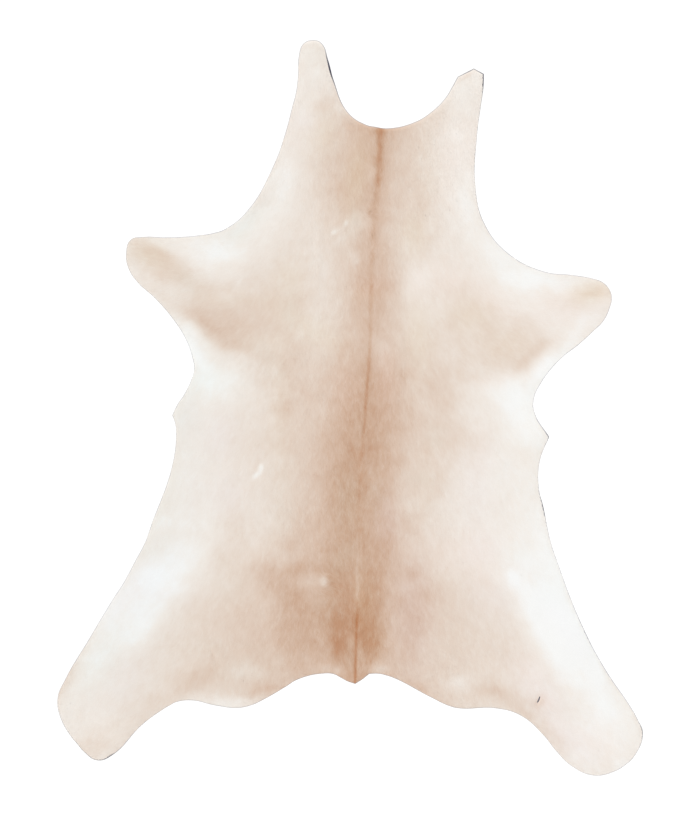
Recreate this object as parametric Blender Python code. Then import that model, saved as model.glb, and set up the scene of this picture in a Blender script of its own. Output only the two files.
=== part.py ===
"""A hair-on hide, trimmed into a floor rug and laid flat with the hair up.

It is one skin: two neck flaps with a scoop between them, four short leg ends and the stub of the tail.
Lengths at the top are millimetres, and the model is metres. The origin is under the middle of the hide on
the floor, +Y runs along the back towards the neck, +X is the right-hand side seen from above, and +Z is up.
"""

import math
from collections import namedtuple

import bmesh
import bpy
from mathutils import Vector
from mathutils.geometry import delaunay_2d_cdt, intersect_point_line

MM = 0.001

# Driving dimensions, in millimetres.
LENGTH = 2208  # from the right hind leg's end to the left neck flap's tip
WIDTH = 1758  # across the two hind leg ends
THICKNESS = 3  # tanned skin with its hair pressed flat

# Fineness of the mesh.
STEPS_PER_ANCHOR = 6  # straight pieces of cut edge from one anchor to the next
GRID_STEP = 34  # between mesh points inside the hide
EDGE_CLEAR = 14  # no inside point comes nearer to the cut edge than this

ROUND = "AUTO"  # the cut edge passes through the anchor in one curve
CORNER = "VECTOR"  # the cut edge turns sharply there

Anchor = namedtuple("Anchor", "x y turn")
Slit = namedtuple("Slit", "x y length width heading bow steps")
Lift = namedtuple("Lift", "x y reach height")

# The trimmed edge, clockwise from above, starting at the tip of the left neck flap.
OUTLINE = {
    "left neck flap": (
        Anchor(-141, 1093, ROUND),
        Anchor(-112, 1104, ROUND),
        Anchor(-86, 1095, ROUND),
        Anchor(-65, 1042, ROUND),
        Anchor(-49, 984, ROUND),
    ),
    "neck scoop": (
        Anchor(-5, 886, ROUND),
        Anchor(49, 850, ROUND),
        Anchor(72, 845, ROUND),
        Anchor(110, 840, ROUND),
        Anchor(195, 860, ROUND),
        Anchor(244, 891, ROUND),
        Anchor(285, 933, ROUND),
        Anchor(303, 963, ROUND),
    ),
    "right neck flap": (
        Anchor(320, 994, CORNER),
        Anchor(369, 1019, CORNER),
        Anchor(400, 1002, CORNER),
        Anchor(398, 954, ROUND),
        Anchor(392, 912, ROUND),
        Anchor(380, 820, ROUND),
        Anchor(375, 665, ROUND),
        Anchor(401, 556, ROUND),
        Anchor(474, 464, ROUND),
    ),
    "right foreleg": (
        Anchor(585, 409, ROUND),
        Anchor(655, 401, ROUND),
        Anchor(717, 391, ROUND),
        Anchor(756, 377, ROUND),
        Anchor(777, 352, ROUND),
        Anchor(782, 328, ROUND),
        Anchor(777, 303, ROUND),
        Anchor(759, 263, ROUND),
        Anchor(722, 225, ROUND),
        Anchor(680, 187, ROUND),
        Anchor(633, 150, ROUND),
        Anchor(570, 73, ROUND),
        Anchor(549, 24, ROUND),
    ),
    "right belly edge": (
        Anchor(551, -12, ROUND),
        Anchor(595, -86, CORNER),
        Anchor(567, -160, ROUND),
        Anchor(566, -250, ROUND),
        Anchor(576, -288, ROUND),
        Anchor(600, -401, ROUND),
        Anchor(616, -450, ROUND),
        Anchor(698, -661, ROUND),
    ),
    "right hind leg": (
        Anchor(765, -786, ROUND),
        Anchor(837, -893, ROUND),
        Anchor(859, -932, ROUND),
        Anchor(875, -975, ROUND),
        Anchor(848, -1047, ROUND),
        Anchor(823, -1071, ROUND),
        Anchor(790, -1091, ROUND),
        Anchor(727, -1103, ROUND),
        Anchor(659, -1073, ROUND),
        Anchor(616, -1031, ROUND),
        Anchor(576, -981, ROUND),
    ),
    "right rump": (
        Anchor(507, -922, ROUND),
        Anchor(430, -901, ROUND),
        Anchor(330, -902, ROUND),
        Anchor(300, -896, ROUND),
        Anchor(240, -868, ROUND),
        Anchor(131, -811, ROUND),
        Anchor(108, -803, ROUND),
        Anchor(86, -798, ROUND),
    ),
    "tail": (
        Anchor(57, -798, CORNER),
        Anchor(37, -814, ROUND),
        Anchor(15, -828, CORNER),
        Anchor(-7, -821, ROUND),
        Anchor(-28, -810, ROUND),
        Anchor(-50, -799, ROUND),
    ),
    "left rump": (
        Anchor(-80, -797, ROUND),
        Anchor(-157, -815, ROUND),
        Anchor(-195, -838, ROUND),
        Anchor(-255, -873, ROUND),
        Anchor(-298, -893, ROUND),
        Anchor(-345, -901, ROUND),
        Anchor(-380, -897, ROUND),
        Anchor(-414, -891, ROUND),
        Anchor(-470, -878, ROUND),
        Anchor(-521, -883, ROUND),
        Anchor(-540, -893, ROUND),
    ),
    "left hind leg": (
        Anchor(-557, -903, ROUND),
        Anchor(-622, -951, ROUND),
        Anchor(-709, -1040, ROUND),
        Anchor(-756, -1057, ROUND),
        Anchor(-798, -1030, ROUND),
        Anchor(-817, -1008, ROUND),
        Anchor(-837, -984, ROUND),
        Anchor(-867, -930, ROUND),
        Anchor(-876, -870, ROUND),
        Anchor(-852, -811, ROUND),
        Anchor(-785, -697, ROUND),
        Anchor(-714, -578, ROUND),
    ),
    "left belly edge": (
        Anchor(-677, -520, ROUND),
        Anchor(-643, -456, ROUND),
        Anchor(-614, -401, ROUND),
        Anchor(-593, -341, ROUND),
        Anchor(-547, -220, ROUND),
        Anchor(-530, -157, ROUND),
        Anchor(-522, -90, ROUND),
        Anchor(-524, -48, ROUND),
        Anchor(-533, -22, CORNER),
        Anchor(-519, 9, ROUND),
    ),
    "left foreleg": (
        Anchor(-499, 39, ROUND),
        Anchor(-480, 76, ROUND),
        Anchor(-468, 113, ROUND),
        Anchor(-475, 158, ROUND),
        Anchor(-492, 204, ROUND),
        Anchor(-533, 269, ROUND),
        Anchor(-584, 328, ROUND),
        Anchor(-638, 378, ROUND),
        Anchor(-663, 416, ROUND),
        Anchor(-671, 462, ROUND),
        Anchor(-657, 505, ROUND),
        Anchor(-620, 514, ROUND),
    ),
    "left neck side": (
        Anchor(-550, 513, ROUND),
        Anchor(-461, 518, ROUND),
        Anchor(-401, 528, ROUND),
        Anchor(-376, 537, ROUND),
        Anchor(-310, 591, ROUND),
        Anchor(-227, 736, ROUND),
        Anchor(-191, 840, ROUND),
        Anchor(-177, 895, ROUND),
        Anchor(-163, 950, ROUND),
        Anchor(-157, 1001, ROUND),
        Anchor(-155, 1055, ROUND),
    ),
}

# A short bowed cut right through the skin, beside the right hind leg.
SLIT = Slit(x=565, y=-875, length=22, width=3.8, heading=67, bow=-1, steps=6)

# Where the cut edge curls up off the floor: the highest point, how far inwards the curl reaches, and its height.
LIFTS = {
    "left neck flap tip": Lift(-70, 1080, 150, 11),
    "right neck flap tip": Lift(395, 1000, 140, 9),
    "right foreleg corner": Lift(780, 350, 110, 6),
    "right belly corner": Lift(595, -86, 120, 8),
    "right flank": Lift(705, -672, 130, 6),
    "right hind leg end": Lift(877, -975, 120, 5),
    "left hind leg end": Lift(-712, -1036, 130, 9),
    "left belly corner": Lift(-534, -22, 100, 5),
    "left foreleg end": Lift(-660, 500, 120, 5),
    "tail tip": Lift(14, -829, 60, 3),
}

# The hair's plain colour.
HAIR_BEIGE = (0.58, 0.44, 0.34, 1.0)
HAIR_ROUGHNESS = 0.75


def clear_scene():
    for item in list(bpy.data.objects):
        bpy.data.objects.remove(item, do_unlink=True)


def cut_line_guide():
    """The trimmed edge as a closed Bezier curve through the anchors, kept as a guide that isn't rendered."""
    anchors = [anchor for stretch in OUTLINE.values() for anchor in stretch]
    curve = bpy.data.curves.new("cut_line", "CURVE")
    curve.resolution_u = STEPS_PER_ANCHOR
    spline = curve.splines.new("BEZIER")
    spline.bezier_points.add(len(anchors) - 1)
    spline.use_cyclic_u = True
    for point, anchor in zip(spline.bezier_points, anchors):
        point.co = (anchor.x * MM, anchor.y * MM, 0)
        point.handle_left_type = anchor.turn
        point.handle_right_type = anchor.turn
    guide = bpy.data.objects.new("cut_line", curve)
    guide.hide_render = True
    guide.display_type = "WIRE"
    bpy.context.collection.objects.link(guide)
    bpy.context.view_layer.update()
    return guide


def edge_points(guide):
    """The guide's points in order, centred and stretched so that the hide is exactly WIDTH by LENGTH."""
    wire = guide.to_mesh()
    points = [vertex.co.xy for vertex in wire.vertices]
    guide.to_mesh_clear()
    low = Vector((min(point.x for point in points), min(point.y for point in points)))
    high = Vector((max(point.x for point in points), max(point.y for point in points)))
    middle = (low + high) / 2
    stretch = Vector((WIDTH * MM / (high.x - low.x), LENGTH * MM / (high.y - low.y)))
    return [(point - middle) * stretch for point in points]


def slit_points():
    """Both lips of the slit, from one end round to the other and back."""
    heading = math.radians(SLIT.heading)
    along = Vector((math.cos(heading), math.sin(heading)))
    across = along.orthogonal()
    lips = []
    for step in range(2 * SLIT.steps):
        turn = math.pi * step / SLIT.steps
        reach = math.cos(turn) * SLIT.length / 2
        gape = math.sin(turn) * SLIT.width / 2
        bow = SLIT.bow * math.sin(turn) ** 2
        lips.append((Vector((SLIT.x, SLIT.y)) + along * reach + across * (gape + bow)) * MM)
    return lips


def distance_to(point, loop):
    """How far a point lies from the nearest stretch of a closed loop."""
    nearest = math.inf
    for start, end in zip(loop, loop[1:] + loop[:1]):
        foot, share = intersect_point_line(point, start, end)
        if share < 0:
            foot = start
        elif share > 1:
            foot = end
        nearest = min(nearest, (point - foot.xy).length)
    return nearest


def grid_points(loops):
    """A triangular grid over the hide, leaving out what comes too near to a cut edge."""
    column_step = GRID_STEP * MM
    row_step = column_step * math.sqrt(3) / 2
    rows = math.ceil(LENGTH * MM / row_step)
    columns = math.ceil(WIDTH * MM / column_step)
    points = []
    for row in range(rows + 1):
        y = (row - rows / 2) * row_step
        shift = column_step / 2 * (row % 2)
        for column in range(columns + 1):
            point = Vector(((column - columns / 2) * column_step + shift, y))
            if all(distance_to(point, loop) > EDGE_CLEAR * MM for loop in loops):
                points.append(point)
    return points


def lift_at(point):
    """Height of the underside above the floor: the highest of the curls that reach this point."""
    height = 0.0
    for lift in LIFTS.values():
        share = (point / MM - Vector((lift.x, lift.y))).length / lift.reach
        if share < 1:
            height = max(height, lift.height * (1 - share * share) ** 2)
    return height * MM


def underside_mesh():
    """The underside of the hide as triangles that face up, with the slit left open."""
    edge = edge_points(cut_line_guide())
    slit = slit_points()
    points = edge + slit + grid_points((edge, slit))
    cut_edge = list(range(len(edge)))
    slit_lips = list(range(len(edge), len(edge) + len(slit)))
    inside_with_holes = 2
    weld = 1e-6
    flat, _, faces, *_ = delaunay_2d_cdt(points, [], [cut_edge, slit_lips], inside_with_holes, weld)
    shape = bmesh.new()
    corners = [shape.verts.new((point.x, point.y, lift_at(point))) for point in flat]
    for face in faces:
        shape.faces.new([corners[index] for index in face])
    loose = [corner for corner in shape.verts if not corner.link_faces]
    bmesh.ops.delete(shape, geom=loose, context="VERTS")
    mesh = bpy.data.meshes.new("hide")
    shape.to_mesh(mesh)
    shape.free()
    return mesh


def hair_material():
    material = bpy.data.materials.new("hair")
    material.use_nodes = True
    shader = material.node_tree.nodes["Principled BSDF"]
    shader.inputs["Base Color"].default_value = HAIR_BEIGE
    shader.inputs["Roughness"].default_value = HAIR_ROUGHNESS
    shader.inputs["Metallic"].default_value = 0.0
    material.diffuse_color = HAIR_BEIGE
    return material


def build_hide():
    mesh = underside_mesh()
    mesh.materials.append(hair_material())
    hide = bpy.data.objects.new("hide", mesh)
    bpy.context.collection.objects.link(hide)
    thickness = hide.modifiers.new("thickness", "SOLIDIFY")
    thickness.thickness = THICKNESS * MM
    thickness.offset = 1.0


clear_scene()
build_hide()
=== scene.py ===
"""A hair-on hide, trimmed into a floor rug and laid flat with the hair up.

Tables are in millimetres in the frame's own axes: +Y runs along the back towards the neck, +X is the
right-hand side seen from above, and +Z is up. Meshes are in metres.
"""

import math
from collections import namedtuple

import bpy
import numpy as np
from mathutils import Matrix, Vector
from mathutils.geometry import delaunay_2d_cdt


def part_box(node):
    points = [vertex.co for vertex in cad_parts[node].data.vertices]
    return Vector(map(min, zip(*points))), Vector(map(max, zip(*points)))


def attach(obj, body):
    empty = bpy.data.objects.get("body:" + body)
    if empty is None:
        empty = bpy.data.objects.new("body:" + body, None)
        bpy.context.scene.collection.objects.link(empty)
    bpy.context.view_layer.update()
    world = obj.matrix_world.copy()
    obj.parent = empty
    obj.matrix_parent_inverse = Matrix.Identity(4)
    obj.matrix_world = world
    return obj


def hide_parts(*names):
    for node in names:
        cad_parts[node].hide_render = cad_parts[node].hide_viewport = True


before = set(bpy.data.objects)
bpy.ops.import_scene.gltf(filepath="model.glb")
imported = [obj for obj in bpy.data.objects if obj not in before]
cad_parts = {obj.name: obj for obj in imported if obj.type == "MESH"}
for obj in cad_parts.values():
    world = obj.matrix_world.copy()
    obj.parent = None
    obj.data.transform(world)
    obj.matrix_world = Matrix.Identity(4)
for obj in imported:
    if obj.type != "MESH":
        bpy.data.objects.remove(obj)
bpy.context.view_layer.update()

MM = 0.001
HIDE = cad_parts["hide"]
LOW, HIGH = (np.array(corner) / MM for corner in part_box("hide"))

# Heights, distances and colouring are worked out once on a chart of the hide, and read off it anywhere.
CHART_STEP = 2.0
CHART_MARGIN = 45.0
CHART_X = np.arange(LOW[0] - CHART_MARGIN, HIGH[0] + CHART_MARGIN, CHART_STEP)
CHART_Y = np.arange(LOW[1] - CHART_MARGIN, HIGH[1] + CHART_MARGIN, CHART_STEP)

# A soft patch: its place, half length and width, turn, what it adds in its middle, and how firm its edge is.
Patch = namedtuple("Patch", "x y along across turn amount edge", defaults=(1,))

# ---------------------------------------------------------------- the skin
SKIN_THICKNESS = 2.0
EDGE_THINNER = 0.4  # how much thinner the skin is along the cut edge, as a share
THIN_REACH = 9.0  # and how far in from the edge
SKIN_STEP = 7.6  # between mesh points inside the skin
RIM_STEP = 4.5  # between mesh points along the cut edge
RIM_CLEAR = 2.2  # no inside point comes nearer to the bare rim than this
CORNER_TURN = 30  # the cut edge has a corner where it turns by more degrees than this
EDGE_REACH = 36.0  # how far from the cut edge distances are worked out
LIFT_BLUR = 27  # the frame's heights are smoothed over this distance on each side
REST_LEVEL = 0.5  # how far the skin's hollows can sink before they press on the floor
PRESSED = 0.8  # share of a deeper hollow that thins the skin from above

# Where the dried skin bellies up a little from the floor.
SWELLS = (
    (-60, 960, 120, 60, 80, 1.2), (-330, 430, 160, 70, 20, 1.6), (-480, 330, 110, 50, -40, 1.4),
    (420, 330, 170, 80, -15, 1.7), (640, 300, 110, 50, 10, 1.4), (-360, -60, 200, 90, 80, 1.5),
    (400, -140, 220, 90, 95, 1.5), (20, 100, 260, 70, 88, 1.3), (-220, -520, 170, 110, 20, 1.7),
    (260, -600, 190, 110, -25, 1.6), (-640, -700, 200, 80, 55, 1.8), (680, -780, 210, 80, -55, 1.8),
    (-420, -820, 120, 50, 5, 1.5), (470, -840, 130, 50, -5, 1.5),
)
# Narrow troughs and ridges: old fold lines, and wrinkles where the legs join the body.
CREASES = (
    (168, 220, 330, 11, 91, -0.5), (-190, -128, 260, 12, 1, -0.4), (250, -132, 220, 12, -2, -0.4),
    (-95, 470, 150, 10, 88, 0.4), (-386, 496, 36, 8, -50, -0.8), (-425, 470, 40, 8, -40, -0.5),
    (-412, -741, 34, 8, -63, -0.8), (-350, 140, 80, 11, -25, -0.6), (515, 95, 80, 11, 30, -0.6),
    (590, -940, 60, 9, 40, -0.5), (-560, -960, 60, 9, -42, -0.5), (560, -860, 40, 9, 70, 0.5),
)
# Lumps all over: their size, height and seed.
UNEVEN = ((210.0, 0.7, 41), (85.0, 0.35, 42), (34.0, 0.12, 43))

# The knife cut the edge on a slant, so a thin bare rim of it shows from above.
EDGE_WORN = 0.7  # how far the cut edge has worn back
EDGE_SLANT = 2.7  # how far the rim runs in from the underside to the hair
EDGE_BROADER = 3.2  # how much farther where its painted shadow is darkest
SLIT_NARROWS = 0.15  # the slit's width on the underside, as a share of its width above
SLIT_RIM = 0.4  # how far the slit's lips draw back above
SLIT_REACH = 1.2  # how far from its middle points belong to the slit, as a share of its half length
# Patches of painted shadow on the bare rim, standing in for the shadow under the lifted edges.
RIM_SHADOWS = {
    "left neck flap": (-62, 1018, 48, 34, 106, 0.94),
    "left of the scoop": (-36, 940, 44, 28, 114, 0.25),
    "right neck flap": (402, 978, 36, 24, 95, 0.85),
    "right neck flap's side": (392, 895, 36, 16, 88, 0.14),
    "neck flap's slanting end": (332, 988, 60, 30, 45, 0.24),
    "right neck flap's tip": (362, 1008, 20, 14, 0, 0.3),
    "right side of the neck": (375, 752, 20, 16, 90, 0.25),
    "front of the right foreleg": (520, 435, 40, 20, -30, 0.08),
    "right foreleg's underside": (680, 184, 24, 18, 40, 0.15),
    "behind the right foreleg": (570, -40, 50, 20, -64, 0.2),
    "right belly corner": (596, -84, 24, 24, 60, 0.42),
    "right belly": (578, -296, 46, 20, -80, 0.62),
    "right flank": (706, -670, 44, 24, -65, 0.42),
    "right thigh": (770, -788, 45, 20, -58, 0.14),
    "right hind leg end": (877, -970, 28, 20, 90, 0.55),
    "left hind leg's inner side": (-722, -1046, 28, 22, 20, 0.8),
    "left hind leg end": (-792, -1034, 52, 22, -40, 0.34),
    "left hind leg's outer side": (-858, -945, 50, 20, -58, 0.1),
    "front of the left foreleg": (-395, 530, 40, 18, 15, 0.08),
    "behind the left foreleg": (-472, 145, 40, 16, 70, 0.1),
    "left thigh": (-806, -729, 60, 18, 60, 0.1),
}

# ---------------------------------------------------------------- the hair's lay
# Which way the hair lies at some places, in degrees: -90 is straight down the back towards the tail.
HAIR_LAY = {
    "left neck flap": (-110, 1050, -94),
    "right neck flap": (380, 960, -84),
    "nape": (90, 800, -90),
    "left neck side": (-240, 650, -114),
    "right neck side": (400, 560, -66),
    "withers": (65, 450, -90),
    "left shoulder": (-200, 350, -116),
    "right shoulder": (300, 350, -64),
    "left foreleg top": (-430, 480, -160),
    "left foreleg": (-580, 440, -186),
    "left elbow": (-430, 260, -148),
    "right foreleg top": (560, 380, -20),
    "right foreleg": (690, 330, 2),
    "right elbow": (510, 190, -36),
    "left girth": (-420, 60, -124),
    "right girth": (500, 20, -56),
    "back": (40, 100, -90),
    "left ribs": (-250, -100, -108),
    "right ribs": (300, -100, -72),
    "left belly": (-510, -150, -112),
    "right belly": (550, -150, -68),
    "middle of the back": (30, -200, -90),
    "loin": (24, -420, -90),
    "left flank": (-540, -450, -121),
    "right flank": (590, -450, -60),
    "left rump": (-250, -650, -106),
    "right rump": (260, -650, -74),
    "tail": (15, -760, -90),
    "left thigh": (-600, -740, -128),
    "right thigh": (650, -770, -55),
    "left hind leg": (-780, -930, -126),
    "right hind leg": (800, -990, -54),
    "left hem": (-360, -850, -101),
    "right hem": (400, -860, -80),
}
LAY_BLEND = 60.0  # the headings above hold within about this distance
# Where the hair whorls: place, reach, and degrees of turn.
WHORLS = ((60, 588, 24, 130), (-77, -522, 32, 150), (-30, 545, 30, -60))
LEAN = 14  # degrees by which the hair leans in towards the line of the back
LEAN_REACH, LEAN_TURN = 45.0, 12.0  # how far out from the line it leans, and how soon it leans fully

# ---------------------------------------------------------------- the hair's locks
SEED = 11
LOCK_SPACING = 2.9
LOCK_LENGTH = 17.0
LOCK_WIDTH = 1.7
LOCK_RANGE = (0.8, 1.2)  # shares of that length and width that locks grow to
LEG_LENGTH = 0.72  # the hair of the legs, as a share of the length on the back
LEG_FROM, LEG_TO = 380.0, 700.0  # the hair shortens from here to here, out from the middle
TAIL = Patch(15, -790, 62, 46, 90, 0.55)  # the tuft, and how much longer its hair is
STRAY = 8.0  # degrees by which a lock strays from its neighbours
CURVE = 9.0  # degrees by which a lock bends halfway
TUFT_STRAY = 7.0  # degrees by which a whole tuft strays
TUFT_SIZE, TUFT_SEED = 26.0, 31
LOCK_SHAPE = {  # along the lock: share of its length, share of its width, height over the skin
    "root": (0.0, 0.7, -0.06),
    "middle": (0.55, 1.0, 0.4),
    "tip": (1.0, 0.0, 0.42),
}
LOCK_ROUND = 0.07  # how far a lock's shading rounds off towards its sides
OVERHANG = 2.6  # how far hair may reach over the bare rim
TRIMS = (1.0, 0.85, 0.7, 0.55, 0.4, 0.28)  # lengths tried for a lock that would reach too far
TRIM_TESTS = (0.35, 0.7, 1.0)  # places along a lock at which it may not reach too far
HAIR_PIECES = {  # the lower end of each piece, from the neck down
    "hair_of_neck": 330,
    "hair_of_shoulders": 20,
    "hair_of_back": -390,
    "hair_of_rump": -700,
    "hair_of_hind_legs": -1300,
}

# ---------------------------------------------------------------- the coat's colouring
PLAIN = 0.10  # how dark the coat is where nothing marks it: 0 is white, 1 is brown
EDGE_SHADE, EDGE_SHADE_REACH = 0.012, 9.0  # painted shade: how much darker the coat is along the edge, and how far in

# How the dark of the back changes along it: a wide saddle, a narrower band and the line of the spine itself.
BACK_MEASURES = "y x saddle_left saddle_right saddle band_left band_right band line line_width".split()
BACK = {
    "above the nape": (1110, 95, 200, 165, 0.05, 60, 60, 0.00, 0.00, 13),
    "neck flaps": (1000, 95, 200, 165, 0.08, 80, 70, 0.04, 0.00, 13),
    "scoop": (900, 95, 205, 165, 0.25, 100, 80, 0.14, 0.20, 13),
    "nape edge": (845, 93, 210, 165, 0.30, 110, 85, 0.20, 0.34, 13),
    "nape": (770, 90, 210, 165, 0.30, 115, 80, 0.19, 0.30, 12),
    "neck": (690, 85, 210, 165, 0.30, 120, 80, 0.17, 0.26, 12),
    "crest": (600, 74, 200, 180, 0.29, 110, 80, 0.13, 0.15, 12),
    "withers": (480, 68, 260, 230, 0.20, 75, 75, 0.24, 0.08, 9),
    "shoulders": (340, 63, 330, 290, 0.15, 75, 78, 0.35, 0.10, 6),
    "girth": (220, 61, 360, 310, 0.17, 85, 80, 0.26, 0.12, 5),
    "behind the girth": (130, 57, 370, 310, 0.24, 115, 110, 0.27, 0.22, 5),
    "foreribs": (0, 46, 340, 270, 0.28, 120, 130, 0.34, 0.20, 5),
    "middle": (-180, 32, 330, 260, 0.30, 135, 105, 0.36, 0.03, 5),
    "loin": (-360, 24, 330, 250, 0.30, 150, 120, 0.32, 0.02, 5),
    "croup": (-480, 22, 380, 280, 0.36, 200, 140, 0.24, -0.11, 5),
    "parting": (-570, 21, 440, 330, 0.48, 130, 95, 0.20, -0.12, 5),
    "rump": (-610, 21, 450, 340, 0.50, 120, 90, 0.20, 0.20, 5),
    "tail head": (-720, 18, 520, 380, 0.46, 110, 90, 0.15, 0.34, 4.2),
    "tail": (-830, 15, 520, 380, 0.40, 60, 60, 0.20, 0.36, 3.8),
}
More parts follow.
